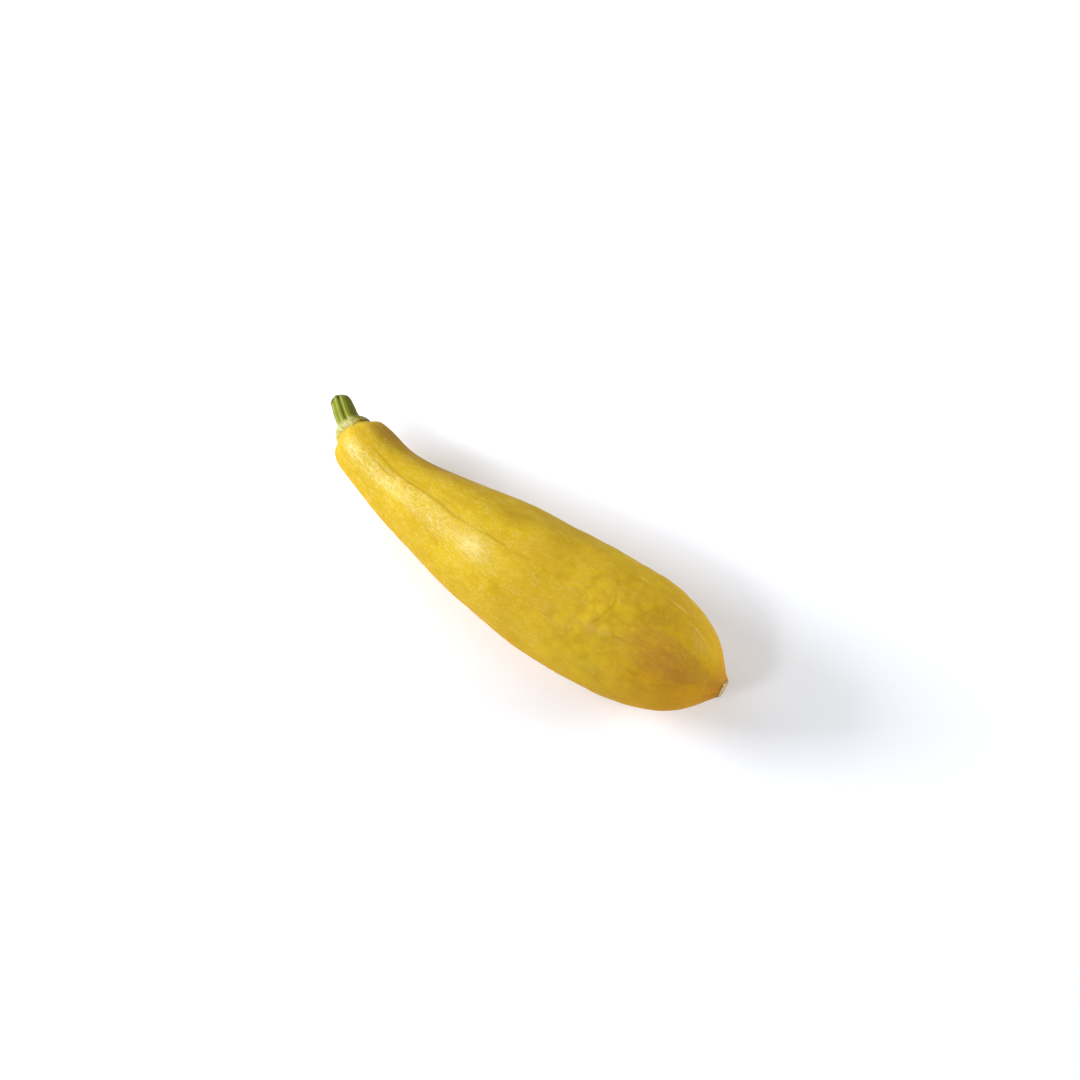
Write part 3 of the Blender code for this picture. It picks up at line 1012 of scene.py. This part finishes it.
def fruit_patches(skin, seen, colour):
    """The orange flanks (partly painted shade), the painted brown shade, and the olive and russet patches
    at the bulb's end.
    """
    wedge = skin.field("wedge") * (0.66 + seen.streak.swing(1.3) + seen.thread.swing(1.1))
    russet = skin.field("russet") * (0.62 + seen.streak.swing(1.0) + seen.thread.swing(0.9))
    bulb_end = seen.along.rise(*BULB_END_AT)
    return skin.paint(
        colour,
        # Orange flanks and bulb end; on the flanks it is partly painted shade.
        (seen.warm * (0.85 + seen.blotch.swing(0.7)), ORANGE),
        # Painted brown shade beside the folds, the neck and the flank.
        (seen.painted_shade * (0.95 + seen.streak.swing(0.8)), PAINTED_SHADE_BROWN),
        (wedge, OLIVE),
        (russet, RUSSET),
        (seen.thread.rise(0.48, 0.64) * bulb_end * 0.12, END_THREAD),
        (seen.cloud.rise(0.50, 0.66) * bulb_end * 0.10, END_LIGHT),
        (seen.cloud.fall(0.36, 0.50) * bulb_end * 0.10, END_DARK),
        (seen.along.rise(*TIP_AT) * (0.56 + seen.thread.swing(1.2)), TIP_RUSSET),
    )


def fruit_flecks(skin, seen, colour):
    """The painted sheen along the neck, painted highlight spots, pale specks and flecks, painted shade in
    the furrows, and a few brown freckles.
    """
    warm = seen.warm
    gleam = skin.field("gleam")
    # A sheen painted into the colour along the neck.
    painted_sheen = seen.sheen_band * (0.08 + seen.smear.rise(0.38, 0.62) * 0.34 + seen.streak.swing(0.5))
    # Soft pale spots painted as highlights.
    painted_gleam = gleam * (0.10 + seen.smear.rise(0.30, 0.70) * 0.16 + seen.cloud.rise(0.36, 0.62) * 0.14)
    # Pale specks: inside the painted sheen and gleams they are painted sparkle, elsewhere a few specks of
    # the skin.
    sparkle_and_specks = (seen.sheen_band * 0.34 + gleam * 0.30 + seen.patchy * 0.10) * (1.0 - warm)
    # The skin's pale dashes and flecks, denser inside the painted sheen and fewer in the painted shade.
    flecked = (0.10 + 0.14 * seen.patchy + seen.sheen_band * 0.26) * (1.0 - seen.painted_shade * 0.7)
    flecked = flecked * (1.0 - warm * 0.5) * seen.along.fall(*FLECKS_FADE)
    # Painted shade in the furrows, the dent and the folds.
    painted_furrow_shade = skin.field("hollow").rise(0.06, 0.80) * (0.74 + seen.thread.swing(0.7))
    painted_furrow_shade = painted_furrow_shade * (1.0 - warm.rise(0.30, 0.65) * 0.75)
    freckle = skin.cells(seen.place, FRECKLE_CELLS, "Distance")
    picked = skin.cells(seen.place, FRECKLE_CELLS, "Color")
    picked = skin.node("ShaderNodeSeparateColor", {}, {0: picked}).rise(0.60, 0.62)
    return skin.paint(
        colour,
        (painted_sheen, PAINTED_SHEEN_GOLD),
        (painted_gleam, GLEAM_CREAM),
        (seen.speck * sparkle_and_specks, SPECK_CREAM),
        (seen.dash * flecked, FLECK_CREAM),
        (seen.fleck * (flecked * 1.2), FLECK_CREAM),
        (painted_furrow_shade, skin.mix(warm.rise(0.05, 0.35), FURROW_SHADE_GOLD, FURROW_SHADE_ORANGE)),
        (freckle.fall(0.02, 0.12) * picked * 0.25, DEEP_GOLD),
        (freckle.fall(0.02, 0.05) * picked * 0.6, FRECKLE_BROWN),
    )


def fruit_ends(skin, seen, colour):
    """The halo at the stem's seat, and the corky scar with its dark rim."""
    return skin.paint(
        colour,
        (seen.along.fall(*SEAT_HALO_AT) * 0.3, SEAT_HALO),
        ((seen.along + seen.cloud.swing(1.4)).rise(*SCAR_RIM_AT) * 0.85, SCAR_RIM),
        (seen.cork, skin.mix(seen.cork_grain.rise(0.35, 0.65), CORK_DARK, CORK_PALE)),
    )


def fruit_skin():
    skin = Skin("fruit_skin")
    seen = FruitPatterns(skin)
    colour = fruit_ground(skin, seen)
    colour = fruit_patches(skin, seen, colour)
    colour = fruit_flecks(skin, seen, colour)
    colour = fruit_ends(skin, seen, colour)
    relief = seen.blotch * 0.8 + seen.cloud * 0.8 + seen.grit * 0.4 + seen.pores * 0.15 + seen.fine * 0.4
    relief = relief - seen.cobble * seen.cobbled * 1.2 + seen.cork * seen.cork_grain * 2.0
    return skin.finish({
        "Base Color": colour,
        "Roughness": 0.26 + seen.fleck * 0.10 + seen.blotch * 0.08 + seen.cork * 0.4,
        "Normal": skin.bump(relief, *FRUIT_BUMP),
        "Metallic": 0.0,
        "Specular IOR Level": 0.0,
        "Coat Weight": 0.10 + seen.sheen_band * 0.06,
        "Coat Roughness": 0.30,
    })


def stem_skin():
    skin = Skin("stem_skin")
    place = skin.unbent_place()
    along = skin.distance_along(place)
    crest = skin.field("crest")
    cut = skin.field("cut")
    stem_shade = skin.field("stem_shade")
    fibre = skin.noise(place, 0.10, 1.3, 3.0, 0.6)
    patch = skin.noise(place, 0.35, 0.5)
    vein = skin.noise(place, 0.40, 0.8, distortion=0.6)
    mottle = skin.noise(place, 0.75, 0.75, 3.0, 0.6)
    foot = along + fibre.swing(3.0) + vein.swing(2.0) - crest * 1.6 + stem_shade * 1.2
    foot = foot.fall(*COLLAR_FADES)
    charred = along + skin.field("char") * 1.5 + patch.swing(3.5) + fibre.swing(2.5)
    green = skin.paint(
        RIB_GREEN,
        # Painted shade in the grooves.
        (skin.field("groove").rise(0.20, 0.95), GROOVE_SHADE_GREEN),
        (patch.rise(0.45, 0.70) * 0.4, PATCH_GREEN),
        # Pale lines along the ridges, partly painted highlight.
        (crest * (0.20 + 0.5 * fibre.rise(0.40, 0.58) + along.fall(*CRESTS_FADE) * 0.3), CREST_HIGHLIGHT_GREEN),
        # Painted shade on the stem's dark side.
        (stem_shade * 0.85, SHADE_GREEN),
    )
    collar = skin.paint(
        COLLAR_CREAM,
        (mottle.rise(0.36, 0.62), COLLAR_GREEN),
        # Painted shade on the collar and its hem, on the dark side.
        (skin.field("collar_shade") * 0.85, COLLAR_SHADE_OLIVE),
        (stem_shade * 0.80, COLLAR_SHADE_DARK),
        (along.fall(*HEM_FADES) * (0.35 + stem_shade * 0.5), skin.mix(stem_shade, HEM_GOLD, HEM_SHADE)),
    )
    colour = skin.paint(
        green,
        (foot, collar),
        (charred.rise(*CHARRED_AT) * 0.85, CHARRED),
        (cut, skin.mix(fibre.rise(0.4, 0.6), PITH_DARK, PITH_PALE)),
    )
    return skin.finish({
        "Base Color": colour,
        "Roughness": 0.42 + fibre * 0.2 + cut * 0.3,
        "Normal": skin.bump(fibre + patch * 0.4 + vein * foot * 0.8, *STEM_BUMP),
        "Metallic": 0.0,
        "Specular IOR Level": 0.08,
        "Subsurface Weight": 0.05,
        "Subsurface Radius": (0.8, 1.0, 0.2),
        "Subsurface Scale": 0.0015,
    })


def pressed_flat(points):
    """The points with those below the surface eased up onto it, as the belly presses flat."""
    points = points.copy()
    z = points[..., 2]
    points[..., 2] = 0.5 * (z + np.sqrt(z * z + BELLY_EASE * BELLY_EASE))
    return points


def make_fruit():
    """The fruit, lying on its belly. Returns how far its points were moved to lie there."""
    rings, straight, fields, poles = fruit_surface()
    solid_low, solid_high = [np.array(corner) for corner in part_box("fruit")]
    low = rings.reshape(-1, 3).min(axis=0)
    high = rings.reshape(-1, 3).max(axis=0)
    shift = 0.5 * (solid_low + solid_high) - 0.5 * (low + high)
    shift[2] = -low[2] - BELLY_FLAT
    mesh = skin_mesh("fruit_body", pressed_flat(rings + shift), pressed_flat(poles + shift))
    carry_fields(mesh, straight, FRUIT_LENGTH, fields)
    mesh.materials.append(fruit_skin())
    fruit = add_piece("fruit_body", mesh)
    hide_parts("fruit")
    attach(fruit, "root")
    return shift


def make_stem(shift):
    """The stem with its collar, moved as the fruit was."""
    rings, straight, fields, poles = stem_surface()
    mesh = skin_mesh("stem_stub", rings + shift, poles + shift)
    carry_fields(mesh, straight, STEM_LENGTH, fields)
    mesh.materials.append(stem_skin())
    stem = add_piece("stem_stub", mesh)
    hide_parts("stem")
    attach(stem, "root")


def make_surface():
    """The plain white surface that the squash lies on."""
    mesh = bpy.data.meshes.new("surface")
    half = 0.5 * SURFACE_SIZE
    corners = [(-half, -half, 0.0), (half, -half, 0.0), (half, half, 0.0), (-half, half, 0.0)]
    mesh.from_pydata(corners, [], [(0, 1, 2, 3)])
    mesh.materials.append(Skin("white_surface").finish(SURFACE_LOOK))
    surface = add_piece("surface", mesh)


def picture_axes():
    """The picture's right, its upward direction on the surface, and the way back to the camera."""
    right = Vector((math.cos(CAMERA_AZIMUTH), math.sin(CAMERA_AZIMUTH), 0.0))
    away = Vector((-math.sin(CAMERA_AZIMUTH), math.cos(CAMERA_AZIMUTH), 0.0))
    back = Vector((0.0, 0.0, math.sin(CAMERA_ELEVATION))) - away * math.cos(CAMERA_ELEVATION)
    return right, away, back


def make_camera():
    _, _, back = picture_axes()
    data = bpy.data.cameras.new("camera")
    data.lens = CAMERA_LENS
    camera = bpy.data.objects.new("camera", data)
    bpy.context.scene.collection.objects.link(camera)
    camera.location = CAMERA_TARGET + back * CAMERA_DISTANCE
    camera.rotation_euler = back.to_track_quat("Z", "Y").to_euler()
    bpy.context.scene.camera = camera


def soft_light(name, direction, distance, size, power, colour):
    """A square soft light that looks at the squash from the given direction."""
    data = bpy.data.lights.new(name, "AREA")
    data.shape = "SQUARE"
    data.size = size
    data.energy = power
    data.color = colour
    light = bpy.data.objects.new(name, data)
    bpy.context.scene.collection.objects.link(light)
    direction = direction.normalized()
    light.location = CAMERA_TARGET + direction * distance
    light.rotation_euler = direction.to_track_quat("Z", "Y").to_euler()


def make_lights():
    """The soft lights around the squash and the even light of the studio."""
    right, away, _ = picture_axes()
    up = Vector((0.0, 0.0, 1.0))
    for name, (way, distance, size, power, colour) in LIGHTS.items():
        direction = right * way[0] + away * way[1] + up * way[2]
        soft_light(name, direction, distance, size, power, colour)
    world = bpy.data.worlds.new("studio")
    world.use_nodes = True
    backdrop = world.node_tree.nodes["Background"]
    backdrop.inputs["Color"].default_value = STUDIO_COLOUR
    backdrop.inputs["Strength"].default_value = STUDIO_STRENGTH
    bpy.context.scene.world = world


moved = make_fruit()
make_stem(moved)
make_surface()
make_camera()
make_lights()
bpy.context.scene.view_settings.view_transform = "Standard"

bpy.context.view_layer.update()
